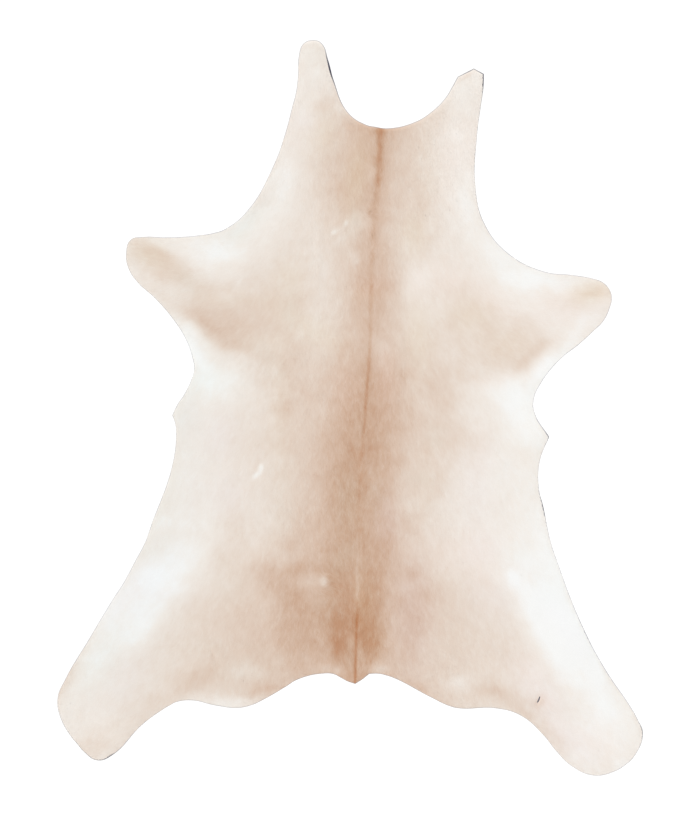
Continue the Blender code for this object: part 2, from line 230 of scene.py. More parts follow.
# Patches where the coat is darker, or paler where they are negative. Most are the coat's own markings; some
# also paint the lighter and darker sheen that the hair's lay gives under the light, and soft shade where the
# legs join the body.
CLOUDS = {
    "neck flaps": (
        (-75, 905, 30, 24, 0, 0.07), (-15, 886, 30, 14, -60, -0.05), (-140, 1020, 28, 20, 0, 0.04),
        (328, 950, 28, 26, 0, -0.04), (-130, 880, 50, 35, 90, -0.05), (310, 825, 40, 25, 90, -0.06),
        (262, 870, 45, 22, 70, 0.04), (240, 880, 50, 14, 35, 0.06), (85, 832, 34, 10, -2, 0.07),
        (-18, 884, 22, 12, -60, -0.05), (353, 999, 36, 7, 30, 0.13), (-118, 1090, 36, 8, 0, 0.06),
        (-110, 1018, 18, 14, 0, -0.05),
    ),
    "neck": (
        (-45, 720, 100, 55, 90, 0.04), (-30, 650, 40, 34, 90, 0.05), (132, 732, 110, 28, 84, -0.08),
        (130, 515, 45, 35, 90, -0.05), (-190, 690, 70, 35, 90, -0.07), (-240, 590, 90, 35, 60, -0.04),
        (-272, 612, 30, 18, 50, 0.05), (142, 582, 18, 18, 0, -0.05), (-42, 455, 18, 22, 30, 0.05),
        (52, 664, 16, 26, 0, -0.04), (-75, 420, 20, 40, 15, -0.04), (215, 620, 60, 32, 90, 0.07),
        (215, 485, 45, 22, 90, 0.05), (345, 600, 90, 35, 100, -0.06), (450, 450, 110, 55, -40, -0.08),
        (22, 552, 46, 28, 60, -0.16, 1.4), (-24, 512, 30, 22, 0, -0.1), (20, 450, 24, 22, 0, -0.09),
        (66, 694, 28, 22, 0, -0.07), (130, 660, 24, 18, 0, -0.05), (140, 585, 26, 18, 0, -0.06),
        (176, 510, 14, 22, 0, -0.05), (74, 488, 18, 12, -30, 0.05), (48, 580, 18, 20, 0, 0.07),
        (92, 588, 10, 18, 0, 0.05), (-28, 720, 16, 20, 0, -0.05), (10, 760, 30, 16, 60, -0.04),
        (-225, 728, 22, 16, 60, 0.05), (62, 775, 18, 20, 30, -0.05), (105, 500, 16, 16, 0, -0.06),
        (-34, 490, 16, 12, 0, -0.06),
    ),
    "left foreleg": (
        (-560, 435, 118, 46, -38, 0.23, 1.2), (-578, 335, 80, 22, -45, 0.09),
        (-568, 384, 46, 24, -35, 0.09), (-590, 484, 55, 16, -22, 0.08), (-405, 356, 86, 30, -8, 0.12),
        (-476, 286, 76, 29, -32, 0.16, 1.2), (-656, 452, 14, 40, -10, 0.055),
        (-515, 262, 24, 12, 45, -0.05), (-440, 300, 30, 14, 0, 0.03), (-445, 298, 22, 12, 0, 0.06),
        (-485, 358, 34, 14, -10, -0.05), (-430, 188, 14, 18, 20, -0.05), (-374, 192, 14, 14, 0, -0.05),
        (-580, 384, 14, 14, 0, 0.05), (-430, 97, 30, 14, -10, 0.035), (-208, 110, 15, 18, 0, -0.05),
        (-45, 345, 14, 22, 0, 0.05), (-385, 258, 118, 56, -38, 0.20, 1.6),
        (-408, 224, 72, 26, -38, 0.09, 1.3), (-350, 176, 66, 22, -14, 0.13, 1.1),
        (-470, 222, 30, 22, -40, -0.06), (-300, 312, 60, 26, 5, 0.07), (-285, 268, 110, 80, 0, 0.17),
        (-250, 228, 34, 24, 0, 0.05), (-190, 275, 34, 26, 0, -0.05), (-290, 400, 55, 40, 90, 0.08),
        (-385, 474, 80, 42, -10, -0.09), (-395, 80, 90, 60, -10, -0.11, 1.3),
        (-478, 172, 78, 28, -55, -0.12),
    ),
    "left shoulder and ribs": (
        (-200, 390, 110, 65, 90, 0.08), (-150, 325, 36, 30, 0, 0.05), (-140, 190, 55, 20, 55, 0.05),
        (-112, 478, 75, 24, 90, -0.04), (-470, -20, 70, 50, 90, -0.035), (-115, -185, 28, 22, 0, -0.04),
        (-170, 140, 130, 50, 105, 0.09), (-255, 80, 34, 30, 0, 0.05), (-250, 145, 70, 26, 0, 0.07),
        (-130, 50, 32, 28, 0, 0.06), (-75, -5, 28, 22, 90, -0.06), (-450, -220, 40, 80, 0, -0.025),
        (-180, -250, 90, 45, 0, -0.035), (-172, 32, 18, 18, 0, -0.06), (-160, 90, 26, 14, -25, 0.05),
        (-175, -135, 30, 19, 0, 0.06), (-190, 0, 80, 35, 90, 0.09), (-200, -10, 34, 24, 0, 0.06),
        (-230, -100, 130, 30, 0, 0.035),
    ),
    "right shoulder and ribs": (
        (200, 380, 90, 38, 105, -0.08), (240, 400, 30, 24, 0, -0.05), (170, 360, 30, 20, 90, -0.04),
        (222, 336, 27, 22, 0, 0.055), (62, 268, 42, 28, 0, -0.045), (243, 178, 50, 22, 100, 0.045),
        (6, 142, 26, 15, 90, -0.06), (198, -20, 18, 16, 0, 0.08), (12, -112, 12, 28, 15, 0.08),
        (50, 45, 14, 16, 0, 0.05), (84, -60, 12, 16, 0, 0.05), (128, -20, 16, 12, 0, -0.05),
        (742, 372, 22, 8, -10, 0.05), (62, 110, 14, 40, 10, -0.04), (0, 25, 14, 26, 0, -0.05),
        (168, 40, 15, 26, 0, -0.05), (32, 214, 14, 16, 0, -0.05), (268, -82, 20, 18, 0, -0.05),
        (80, 8, 20, 60, 0, -0.035), (55, -160, 14, 14, 0, 0.05), (345, 345, 34, 30, 0, 0.06),
        (318, 260, 44, 32, 90, 0.08), (400, 235, 36, 28, -20, 0.08), (342, 160, 72, 26, 88, 0.06),
        (378, 92, 70, 22, -6, 0.07), (105, 362, 30, 20, 0, 0.05), (34, 370, 22, 20, 0, 0.05),
        (45, 105, 26, 20, 90, 0.08), (90, 116, 36, 26, 130, -0.12), (160, 140, 26, 20, 0, -0.05),
        (235, 60, 24, 22, 0, 0.05), (305, 35, 42, 30, 60, 0.05), (338, -106, 66, 42, 0, 0.085),
        (32, -60, 66, 15, 90, -0.09), (50, -132, 36, 16, 0, 0.08), (165, -285, 42, 21, 0, -0.06),
        (260, 220, 60, 50, 0, 0.05), (84, 180, 34, 28, 0, -0.13), (150, 92, 34, 26, 60, 0.06),
        (270, 60, 62, 38, 105, 0.11), (295, 110, 50, 40, 40, 0.03), (388, 200, 50, 22, 0, 0.025),
        (300, -65, 48, 36, 100, 0.05), (215, -45, 100, 34, 5, 0.05), (226, -120, 38, 26, 110, 0.1),
        (148, -157, 36, 20, 0, 0.06), (262, -218, 80, 38, 75, 0.08),
    ),
    "right foreleg": (
        (570, 388, 120, 32, -3, -0.08), (550, 365, 34, 20, 0, -0.05), (732, 350, 82, 27, 12, 0.15),
        (718, 338, 26, 14, 0, -0.06), (710, 358, 34, 18, 10, 0.09), (650, 315, 50, 26, 0, 0.04),
        (700, 250, 60, 22, 40, -0.035), (480, 185, 112, 74, 15, 0.16, 1.8), (588, 184, 34, 24, 35, 0.11),
        (405, 290, 90, 52, -20, 0.13), (522, 130, 68, 21, 35, 0.14, 1.4), (480, 98, 32, 20, 30, -0.09),
        (552, 102, 26, 18, 40, -0.06), (460, 230, 34, 24, 0, -0.06), (495, 20, 100, 62, -35, -0.115, 1.3),
        (590, 90, 70, 34, 50, -0.09, 1.3), (640, 165, 85, 28, 42, -0.06),
    ),
    "right flank": (
        (535, -85, 60, 48, 0, -0.08), (675, -1040, 26, 18, -30, -0.04), (725, -732, 20, 26, 30, -0.04),
        (490, -200, 90, 60, 0, -0.035), (570, -370, 110, 48, -75, -0.07),
        (520, -470, 95, 55, -65, -0.05, 1.2), (480, -520, 36, 30, 0, -0.08),
        (408, -510, 42, 20, -30, 0.05), (640, -650, 175, 70, -58, -0.15, 1.4),
        (575, -680, 190, 42, -57, -0.12, 1.2), (745, -790, 32, 24, -60, -0.07),
        (765, -890, 110, 50, -60, -0.10), (760, -925, 80, 34, -40, 0.035), (540, -505, 50, 24, -30, 0.03),
        (528, -150, 30, 110, 5, 0.022), (765, -1070, 22, 16, 0, 0.05), (740, -935, 70, 50, -30, -0.04),
        (812, -1062, 30, 22, 0, -0.05), (622, -490, 85, 27, -65, -0.06),
    ),
    "right rump": (
        (175, -350, 50, 25, 20, 0.05), (105, -416, 42, 34, 90, 0.11), (102, -386, 20, 18, 0, -0.05),
        (52, -595, 18, 14, 0, 0.08), (38, -558, 12, 16, 0, -0.06), (98, -435, 16, 16, 0, -0.05),
        (165, -420, 16, 12, 0, -0.05), (90, -750, 16, 26, -30, -0.05), (27, -680, 8, 20, 0, -0.06),
        (215, -812, 22, 22, 0, -0.05), (55, -662, 14, 20, 0, -0.06), (345, -575, 26, 18, 0, -0.035),
        (130, -750, 20, 20, 0, 0.05), (205, -745, 18, 22, 0, 0.045), (80, -530, 60, 28, 80, 0.08),
        (196, -490, 30, 24, 0, 0.17), (303, -456, 30, 18, 0, -0.045), (218, -552, 38, 32, 0, 0.13),
        (135, -530, 42, 28, 0, -0.06), (205, -838, 60, 15, -30, 0.07), (530, -918, 52, 17, -38, 0.11),
        (355, -835, 36, 30, 0, -0.05), (134, -655, 85, 25, 88, -0.07), (90, -638, 34, 17, 90, 0.06),
        (200, -640, 45, 22, 90, 0.05), (250, -735, 60, 40, 90, -0.05), (460, -732, 76, 60, -60, 0.05),
        (415, -855, 60, 24, 0, 0.12), (490, -868, 115, 34, -22, 0.11), (607, -981, 76, 26, -44, 0.1),
        (312, -830, 40, 28, 0, -0.11),
    ),
    "tail": (
        (-38, -690, 78, 32, 92, 0.19, 1.4), (62, -685, 76, 30, 88, 0.18, 1.4),
        (8, -660, 70, 27, 90, 0.13), (78, -717, 26, 24, 0, 0.07), (-32, -724, 28, 23, 0, 0.14),
        (4, -800, 14, 20, 0, 0.06), (46, -735, 12, 18, 0, 0.05), (-70, -640, 28, 20, 90, 0.06),
        (25, -600, 24, 20, 90, -0.07), (112, -796, 16, 14, 0, 0.08),
    ),
    "left rump": (
        (-55, -270, 60, 22, 90, 0.05), (6, -388, 18, 16, 0, 0.07), (2, -446, 20, 12, 15, -0.07),
        (-6, -486, 14, 14, 0, 0.06), (-108, -494, 18, 12, 0, -0.05), (-36, -718, 14, 18, 0, -0.05),
        (-8, -715, 10, 16, 0, -0.05), (-68, -362, 18, 14, 0, -0.05), (-78, -432, 30, 10, 0, -0.05),
        (-320, -868, 24, 14, 0, -0.05), (-50, -395, 12, 18, 0, 0.05), (-40, -648, 16, 20, 0, -0.06),
        (-216, -745, 16, 18, 0, -0.07), (-266, -525, 22, 20, 0, -0.045), (-286, -415, 16, 24, 0, -0.045),
        (-238, -448, 20, 15, 20, 0.08), (-175, -350, 16, 18, 0, -0.045), (-130, -350, 34, 28, 0, 0.05),
        (62, -218, 40, 18, 90, -0.1), (62, -310, 34, 22, 0, -0.045), (2, -275, 95, 14, 90, -0.06),
        (15, -345, 34, 22, 0, -0.05), (-180, -398, 30, 24, 0, 0.10), (-240, -470, 36, 24, 0, 0.10),
        (-215, -510, 75, 38, -8, 0.12, 1.2), (-152, -484, 42, 22, 10, 0.12),
        (-305, -495, 55, 36, -20, 0.04), (-46, -512, 52, 30, 110, 0.12), (-38, -500, 22, 20, 0, -0.06),
        (-172, -470, 26, 14, 0, -0.05), (-395, -530, 60, 40, 0, -0.03), (-415, -787, 36, 14, 10, 0.05),
        (-500, -640, 26, 50, 0, -0.03), (-106, -524, 26, 18, 0, -0.08), (-40, -786, 14, 14, 0, -0.1),
        (-185, -818, 34, 10, 28, -0.06), (-85, -562, 52, 20, 0, -0.07), (-222, -550, 56, 28, -20, 0.09),
        (-400, -440, 52, 24, 110, 0.07), (-258, -612, 42, 30, 20, -0.05), (-143, -524, 46, 18, 18, -0.11),
        (-170, -640, 110, 58, 92, 0.11, 1.3), (-135, -712, 42, 26, 0, 0.05),
        (-120, -662, 28, 20, 60, -0.05), (-165, -765, 30, 20, 0, 0.06), (-455, -805, 90, 30, 15, 0.12),
        (-250, -844, 55, 16, 20, 0.12), (-320, -788, 58, 28, 5, -0.13),
        (-350, -886, 116, 32, -4, -0.24, 1.2),
    ),
    "left hind leg": (
        (-757, -1008, 82, 38, 22, 0.13), (-862, -890, 20, 16, 0, 0.035), (-670, -890, 24, 22, 0, 0.04),
        (-700, -978, 50, 22, 30, -0.07), (-600, -872, 34, 24, 20, 0.05), (-620, -925, 120, 32, 38, 0.06),
        (-715, -850, 30, 24, 40, -0.035), (-862, -830, 90, 24, 68, 0.11), (-832, -785, 60, 19, 62, 0.08),
        (-500, -850, 70, 19, 28, 0.06),
    ),
    "left flank": (
        (-590, -565, 195, 66, 48, -0.13, 1.4), (-500, -550, 36, 28, 0, -0.05),
        (-620, -670, 75, 40, 45, -0.08), (-610, -490, 90, 35, 30, -0.05), (-450, -440, 50, 50, 0, -0.04),
        (-715, -600, 72, 30, 55, -0.07), (-500, -335, 110, 30, 5, -0.035),
        (-765, -765, 95, 48, 60, -0.07), (-350, -350, 60, 38, 80, 0.07), (-255, -330, 60, 45, 90, -0.04),
    ),
}
# Small marks with a firmer outline, which the coat's cloudiness doesn't pull out of shape.
MARKS = {
    "upper lobe of the scar on the left ribs": (-267, -178, 11, 9, 70, -0.17, 1.6),
    "lower lobe of the scar on the left ribs": (-278, -200, 19, 8, 36, -0.17, 1.5),
    "pale speck in the whorl of the left rump": (-77, -519, 13, 17, 0, -0.3, 1.6),
    "upper fleck by the withers": (-12, 555, 10, 7, 75, -0.2, 1.4),
    "lower fleck by the withers": (-48, 528, 9, 6, 30, -0.16, 1.3),
    "small fleck behind the withers": (21, 438, 9, 6, 10, -0.09, 1.4),
    "round the slit": (569, -884, 24, 14, 67, 0.12, 1.2),
    "hook in the line of the neck": (58, 588, 15, 6, 78, 0.14),
    "pale fringe right of the tail": (84, -785, 32, 17, 0, -0.19, 1.2),
    "pale fringe left of the tail": (-62, -783, 50, 18, -4, -0.12, 1.4),
    "pale strip left of the tail's line": (1, -740, 70, 6, 90, -0.09),
    "pale strip right of the tail's line": (40, -740, 70, 6, 90, -0.03),
    # The two wrinkles' marks are painted shade in the creases' troughs.
    "painted shade in the wrinkle of the left shoulder": (-386, 496, 28, 4, -50, 0.05),
    "painted shade in the wrinkle of the left thigh": (-412, -741, 20, 4, -63, 0.05),
}
# Patches where the coat is redder, or less red where they are negative: mostly the hair's own tinge, while
# the broad ones down each side paint the light's tint, cooler on the left and warmer on the right.
REDDER = {
    "neck": (
        (-92, 1064, 48, 45, 0, -0.012), (-170, 820, 110, 30, 80, 0.008), (130, 780, 70, 40, 90, -0.008),
        (-50, 770, 80, 35, 90, -0.006), (-310, 560, 90, 30, 50, -0.036), (-375, 518, 60, 20, 12, -0.012),
        (292, 700, 120, 32, 92, 0.010), (350, 800, 60, 90, 0, 0.013), (15, 555, 55, 20, 90, -0.016),
    ),
    "left forequarter": (
        (-495, 380, 60, 32, -30, -0.015), (-180, 290, 60, 28, 90, -0.010),
        (-245, 145, 70, 30, 125, -0.010),
    ),
    "right forequarter": (
        (205, 370, 60, 22, 90, 0.010), (280, 380, 80, 60, 0, 0.017), (425, 325, 85, 42, -35, 0.014),
        (640, 300, 120, 80, 0, 0.023), (768, 330, 28, 42, 0, 0.016), (568, 135, 45, 30, 40, 0.012),
    ),
    "back": (
        (65, 362, 60, 34, 5, 0.022), (106, 90, 100, 30, 90, 0.026), (-10, 60, 80, 40, 90, 0.014),
        (35, -50, 60, 25, 90, -0.010), (-5, -270, 100, 40, 90, -0.028), (78, -265, 70, 26, 90, -0.015),
        (-20, -455, 80, 40, 60, -0.024), (37, -556, 8, 6, 0, 0.03), (0, -750, 45, 16, 90, -0.012),
    ),
    "left side": (
        (-440, 80, 90, 50, 0, -0.022), (-500, 0, 60, 34, 80, -0.012), (-560, -300, 500, 130, 80, -0.021),
        (-205, -290, 130, 45, 90, -0.009),
    ),
    "right side": (
        (440, 85, 80, 24, 8, 0.008), (395, -120, 90, 30, 90, 0.008), (260, -90, 34, 26, 90, -0.018),
        (212, -212, 42, 22, 0, -0.011), (540, -105, 60, 30, 0, -0.008),
    ),
    "left hindquarter": (
        (-600, -430, 60, 30, 20, -0.011), (-60, -590, 75, 40, 90, -0.014),
        (-365, -540, 55, 50, 0, -0.010), (-330, -785, 140, 60, 8, -0.014),
        (-748, -750, 125, 60, 55, -0.027), (-425, -712, 60, 30, 0, -0.011),
    ),
    "right hindquarter": (
        (370, -430, 160, 70, 0, 0.018), (405, -515, 45, 36, -40, 0.010), (495, -430, 55, 40, 10, -0.014),
        (610, -550, 140, 50, -58, -0.010), (588, -882, 28, 24, 0, 0.018), (540, -800, 90, 60, -50, 0.014),
        (620, -960, 60, 30, -50, 0.011), (740, -1000, 80, 70, -40, 0.014),
    ),
}
# And of blue.
BLUER = {
    "neck": (
        (-125, 858, 45, 30, 0, 0.016), (-80, 830, 60, 40, 90, -0.025), (20, 700, 120, 36, 80, -0.05),
        (235, 690, 120, 45, 90, -0.008), (190, 520, 60, 40, 90, -0.033), (-320, 570, 110, 28, 47, 0.012),
    ),
    "left forequarter": (
        (-600, 460, 70, 40, -30, -0.035), (-340, 325, 125, 26, -3, -0.012),
        (-180, 390, 60, 50, 90, -0.025), (-120, 240, 120, 40, -30, -0.028),
        (-250, 198, 120, 30, 0, -0.010),
    ),
    "right forequarter": (
        (205, 215, 110, 40, 90, -0.030), (360, 280, 70, 50, 0, -0.026), (480, 190, 80, 50, 15, -0.018),
        (730, 345, 70, 32, 10, -0.047),
    ),
    "back": (
        (40, 340, 65, 24, 0, -0.016), (110, -340, 80, 35, 90, 0.040), (38, -580, 90, 32, 90, -0.040),
        (70, -700, 60, 40, 90, -0.024),
    ),
    "left side": (
        (-210, 0, 200, 35, 90, -0.015), (-490, -10, 90, 45, 85, 0.012), (-390, -80, 80, 50, 90, 0.028),
        (-475, -215, 130, 45, 85, 0.014), (-370, -260, 60, 60, 0, 0.022),
    ),
    "right side": (
        (225, -220, 110, 28, 85, -0.008), (375, -240, 150, 60, 90, 0.017),
    ),
    "left hindquarter": (
        (-620, -530, 190, 90, 52, 0.024), (-680, -810, 110, 70, 50, 0.018),
        (-500, -560, 80, 36, 0, 0.007),
    ),
    "right hindquarter": (
        (185, -610, 160, 60, 90, 0.044), (400, -430, 60, 50, 0, 0.013), (430, -570, 90, 60, 0, 0.018),
        (640, -640, 140, 42, -58, 0.014), (590, -880, 150, 60, -55, 0.024),
        (680, -1020, 90, 50, -35, 0.015),
    ),
}
# Chance shifts that make the patches' outlines uneven: their size, distance and seed.
WOBBLE_X = ((80.0, 11.0, 3), (27.0, 5.0, 4))
WOBBLE_Y = ((80.0, 11.0, 5), (27.0, 5.0, 6))
# The coat's cloudiness: its size, share and seed.
MOTTLE = ((95, 0.26, 21), (42, 0.30, 22), (21, 0.28, 23), (10, 0.24, 24))
MOTTLE_STRETCH = 1.35  # how much longer it is along the back
MOTTLE_PLAIN, MOTTLE_DARK = 0.024, 0.07  # its strength in white hair, and what dark hair adds

# ---------------------------------------------------------------- finishes and light
ROOT_CLEAR = 0.3  # no lock grows nearer to the bare rim than this
LOCK_UNEVEN = 0.1  # how much the locks differ in height, as a share
# Streaks along the hair: their width, length, share and seed.
STREAKS = ((3.5, 6.0, 0.8, 51), (7.0, 12.0, 1.0, 52), (16.0, 24.0, 0.8, 53))
STREAK_STEPS = 7
LOCK_CHANCE = 0.35  # how much each lock's darkness differs by itself
STREAK_CHANCE = 1.0  # and along with the streak that it lies in
CHANCE_PLAIN, CHANCE_DARK = 0.010, 0.08  # the strength of both in white hair, and what dark hair adds

COAT_TONES = {  # how dark the coat is, and its tone as display red, green and blue out of 255
    "white": (0.0, (246, 246, 244)),
    "cream": (0.1, (241, 235, 228)),
    "pale beige": (0.3, (229, 214, 201)),
    "beige": (0.5, (218, 194, 176)),
    "fawn": (0.7, (206, 174, 151)),
    "tan": (0.9, (194, 152, 123)),
    "brown": (1.2, (180, 121, 83)),
}
COAT_SHARE = 0.861  # light that the hair sends back, as a share of its tone
COAT_GLANCE = 0.022  # and what glances off it without taking its colour
SHEEN_ROUGHNESS, GLOSS = 0.5, 0.2  # of every finish
HAIR_ROUGHNESS, HAIR_SHEEN = 0.62, 0.06
STRAND_CONTRAST = 0.07  # how much the strands of a lock differ in shade
STRAND_SCALES = {"X": 2.4, "Y": 0.9, "Z": 97.0}  # across a lock, along it, and from lock to lock
ROOT_SHADE = 0.04  # how much darker a lock is at its root
SKIN_ROUGHNESS = 0.8
SKIN_NAP = {"Cloud Scale": 60.0, "Fibre Scale": 900.0}
SKIN_SHADE, SKIN_MOTTLING = 0.97, 0.1  # the skin between the roots, next to the hair's own shade
LEATHER_ROUGHNESS, LEATHER_SHEEN = 0.9, 0.15
FIBRE_SHARE = 0.35  # of bare leather's mottling; the rest is cloudy
NAP_STOPS = (0.3, 0.7)  # where the mottling is all deep and all pale
# Pale tone, deep tone, and the scales of the mottling between them.
SUEDE = ((226, 213, 192), (205, 188, 164), 14.0, 420.0)
# The cut edge's tones are partly the leather's own and partly painted shade: darker and cooler, to paint the
# thin shadow line round the edge.
CUT_LEATHER_AND_SHADE = ((164, 168, 176), (150, 154, 162), 60.0, 700.0)
# Strength of each finish's bump, and its depth in metres.
HAIR_BUMP, SKIN_BUMP, SUEDE_BUMP, CUT_BUMP = (0.12, 0.0002), (0.3, 0.0003), (0.4, 0.0005), (0.5, 0.0005)
HAIR_SIDE, SUEDE_SIDE, CUT_SIDE = range(3)
RIM_TINT = 0.5  # how far the bare rim is tinted like the coat
RIM_SHADOW_TONE = (34, 32, 56)
EDGE_STRIP = 0.96  # share of the skin's flat map that its two sides take up; the cut edge has the rest
STRIP_FOOT, STRIP_HEAD = 0.3, 0.9  # the part of that rest that the cut edge fills

FLOOR_SIZE = 14.0  # in metres, as all of the room is
FLOOR_LEVEL = -0.0002
FLOOR_TONE, FLOOR_ROUGHNESS = 0.06, 0.9
FLOOR_GLOW = 1.03  # the floor is a panel that glows, so no shadow darkens it
ROOM_LIGHT = 0.956
SOFTBOX_LIGHT = 1.27
SOFTBOX_SPREAD = 22.0
SOFTBOX_FROM = (-0.42, 0.36, 0.83)
CAMERA_HEIGHT = 12.0
VIEW_HEIGHT = 2.448
SENSOR_HEIGHT = 24
VIEW_DEPTH = 50


# ---------------------------------------------------------------- charts of the hide
def chart_grid():
    return np.meshgrid(CHART_X, CHART_Y, indexing="ij")


def read_chart(chart, x, y):
    """The chart's value at any places, blended from the four chart points round each."""
    across = np.clip((x - CHART_X[0]) / CHART_STEP, 0, len(CHART_X) - 1.001)
    up = np.clip((y - CHART_Y[0]) / CHART_STEP, 0, len(CHART_Y) - 1.001)
    i, j = across.astype(int), up.astype(int)
    u, v = across - i, up - j
    low = chart[i, j] * (1 - u) + chart[i + 1, j] * u
    high = chart[i, j + 1] * (1 - u) + chart[i + 1, j + 1] * u
    return low * (1 - v) + high * v


def chart_window(low, high, margin=0.0):
    """The part of a chart that covers a box and a margin round it."""
    first_x, first_y = np.searchsorted(CHART_X, low[0] - margin), np.searchsorted(CHART_Y, low[1] - margin)
    last_x, last_y = np.searchsorted(CHART_X, high[0] + margin), np.searchsorted(CHART_Y, high[1] + margin)
    return slice(first_x, last_x), slice(first_y, last_y)


def edge_loops(faces):
    """The open edges of these faces, end to end: a loop of corners for the outline and for each hole."""
    edges = {(int(face[k - 1]), int(face[k])) for face in faces for k in range(len(face))}
    follow = {start: end for start, end in edges if (end, start) not in edges}
    loops = []
    while follow:
        corner = min(follow)
        loop = []
        while corner in follow:
            loop.append(corner)
            corner = follow.pop(corner)
        loops.append(loop)
    return loops


def frame_underside():
    """The frame's underside: its corners in millimetres, its triangles, and its edges' loops of corners."""
    count = len(HIDE.data.vertices)
    spots = np.empty(count * 3)
    HIDE.data.vertices.foreach_get("co", spots)
    spots = spots.reshape(-1, 3) / MM
    weld, faces_down = 0.05, -0.5
    rounded = np.round(spots / weld).astype(int)
    _, first, same = np.unique(rounded, axis=0, return_index=True, return_inverse=True)
    same = same.ravel()
    below = (face for face in HIDE.data.polygons if face.normal.z < faces_down)
    faces = [[int(same[corner]) for corner in face.vertices] for face in below]
    return spots[first], faces, sorted(edge_loops(faces), key=len, reverse=True)


def curved_edge(corners):
    """A closed edge through these corners, in curves that stay sharp where it turns sharply."""
    coming = corners - np.roll(corners, 1, axis=0)
    going = np.roll(corners, -1, axis=0) - corners
    came = np.hypot(*coming.T)[:, None]
    goes = np.hypot(*going.T)[:, None]
    turn = np.degrees(np.arccos(np.clip((coming * going).sum(1) / (came * goes)[:, 0], -1, 1)))[:, None]
    middle = coming / came + going / goes
    middle = middle / np.hypot(*middle.T)[:, None]
    leave = np.where(turn > CORNER_TURN, going, middle * goes)
    arrive = np.where(turn > CORNER_TURN, coming, middle * came)
    points = []
    for k in range(len(corners)):
        after = (k + 1) % len(corners)
        steps = max(1, round(goes[k, 0] / RIM_STEP))
        share = (np.arange(steps) / steps)[:, None]
        square, cube = share**2, share**3
        points.append(
            (2 * cube - 3 * square + 1) * corners[k]
            + (cube - 2 * square + share) * leave[k]
            + (3 * square - 2 * cube) * corners[after]
            + (cube - square) * arrive[after]
        )
    return np.concatenate(points)


def inset_chart(edges):
    """How far inside the nearest cut edge each chart point lies; off the skin it is negative."""
    x, y = chart_grid()
    reach = np.full(x.shape, EDGE_REACH)
    on_skin = np.zeros(x.shape, bool)
    for edge in edges:
        for start, end in zip(edge, np.roll(edge, -1, axis=0)):
            low, high = np.minimum(start, end), np.maximum(start, end)
            part = chart_window(low, high, EDGE_REACH)
            way = end - start
            dx, dy = x[part] - start[0], y[part] - start[1]
            share = np.clip((dx * way[0] + dy * way[1]) / (way @ way), 0, 1)
            reach[part] = np.minimum(reach[part], np.hypot(dx - share * way[0], dy - share * way[1]))
            rows = np.searchsorted(CHART_Y, (low[1], high[1]))
            for row in range(*rows):
                crossing = start[0] + (CHART_Y[row] - start[1]) / way[1] * way[0]
                on_skin[np.searchsorted(CHART_X, crossing):, row] ^= True
    return np.where(on_skin, reach, -reach)


def blurred(chart):
    """The chart smoothed over LIFT_BLUR on each side."""
    weights = np.hanning(2 * round(LIFT_BLUR / CHART_STEP) + 3)[1:-1]
    weights = weights / weights.sum()
    for axis in (0, 1):
        chart = np.apply_along_axis(np.convolve, axis, chart, weights, mode="same")
    return chart


def lift_chart(corners, faces):
    """Height of the frame's underside, with its flat facets smoothed into curls."""
    height = np.zeros((len(CHART_X), len(CHART_Y)))
    known = np.zeros(height.shape)
    x, y = chart_grid()
    for face in faces:
        a, b, c = corners[face]
        part = chart_window(np.minimum(np.minimum(a, b), c), np.maximum(np.maximum(a, b), c))
        dx, dy = x[part] - a[0], y[part] - a[1]
        double = (b[0] - a[0]) * (c[1] - a[1]) - (b[1] - a[1]) * (c[0] - a[0])
        to_b = (dx * (c[1] - a[1]) - dy * (c[0] - a[0])) / double
        to_c = (dy * (b[0] - a[0]) - dx * (b[1] - a[1])) / double
        slack = 1e-6
        covered = (to_b > -slack) & (to_c > -slack) & (to_b + to_c < 1 + slack)
        height[part] = np.where(covered, a[2] + to_b * (b[2] - a[2]) + to_c * (c[2] - a[2]), height[part])
        known[part] = np.where(covered, 1.0, known[part])
    return blurred(height) / np.maximum(blurred(known), 1e-6)


# ---------------------------------------------------------------- patches and unevenness
def bell(share):
    """1 in the middle, fading to 0 a little past 1 on both sides."""
    return np.exp(-(share**2))


def soft_patch(patch, x, y):
    """1 in the middle of a patch, fading to 0 round it."""
    turn = math.radians(patch.turn)
    dx, dy = x - patch.x, y - patch.y
    along = (dx * math.cos(turn) + dy * math.sin(turn)) / patch.along
    across = (dy * math.cos(turn) - dx * math.sin(turn)) / patch.across
    return np.exp(-((along * along + across * across) ** patch.edge))


def patches_at(rows, x, y):
    """What these soft patches add up to at any places."""
    patches = (Patch(*row) for row in rows)
    return sum(patch.amount * soft_patch(patch, x, y) for patch in patches)


def in_regions(table, x, y):
    """What the soft patches of all of a table's regions add up to."""
    return sum(patches_at(rows, x, y) for rows in table.values())


def value_noise(x, y, size, seed):
    """Smooth chance values from -1 to 1 whose lumps are about this size."""
    tiles = 256
    table = np.random.default_rng(seed).uniform(-1, 1, (tiles, tiles))
    u, v = x / size, y / size
    i, j = np.floor(u).astype(int), np.floor(v).astype(int)
    u, v = u - i, v - j
    u = u * u * u * (u * (u * 6 - 15) + 10)
    v = v * v * v * (v * (v * 6 - 15) + 10)
    i, j, i_next, j_next = i % tiles, j % tiles, (i + 1) % tiles, (j + 1) % tiles
    low = table[i, j] * (1 - u) + table[i_next, j] * u
    high = table[i, j_next] * (1 - u) + table[i_next, j_next] * u
    return low * (1 - v) + high * v


def layered_noise(layers, x, y):
    """Chance values in several sizes at once, from rows of size, share and seed."""
    return sum(share * value_noise(x, y, size, seed) for size, share, seed in layers)


